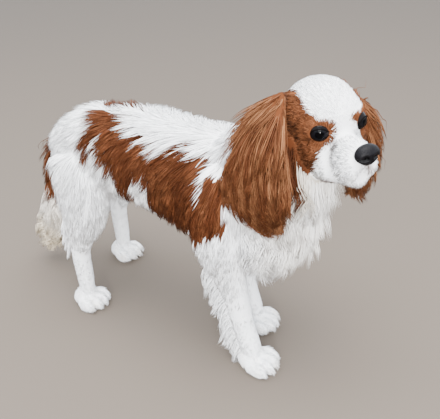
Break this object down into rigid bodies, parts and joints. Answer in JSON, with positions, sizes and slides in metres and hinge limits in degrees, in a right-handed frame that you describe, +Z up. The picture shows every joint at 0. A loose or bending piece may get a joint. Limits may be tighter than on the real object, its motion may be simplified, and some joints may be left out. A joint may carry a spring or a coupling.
{
  "type": "cavalier king charles spaniel",
  "caption": "Standing toy spaniel with long wavy ears, feathered legs and tail and a silky white and chestnut coat, head turned aside.",
  "frame": {"origin": "on the floor, under the middle of the whole animal's box", "axes": "+X towards the chest, +Y towards the dog's left side, +Z up"},
  "size_m": [0.5766, 0.1892, 0.3813],
  "materials": {
    "white_coat": "silky white coat",
    "chestnut_coat": "silky chestnut coat",
    "cream_coat": "silky cream coat",
    "nose": "damp black leather-like skin",
    "eye": "wet dark brown eye"
  },
  "bodies": {
    "root": {"eye_right": "eye", "eye_left": "eye", "nose": "nose", "lower_jaw": "white_coat", "head": "white_coat", "ear_right": "chestnut_coat", "ear_left": "chestnut_coat", "neck": "white_coat", "tail": "cream_coat", "torso": "white_coat", "front_leg_right": "white_coat", "front_leg_left": "white_coat", "hind_leg_right": "white_coat", "hind_leg_left": "white_coat", "front_paw_right": "white_coat", "front_paw_left": "white_coat", "hind_paw_right": "white_coat", "hind_paw_left": "white_coat"}
  },
  "joints": []
}
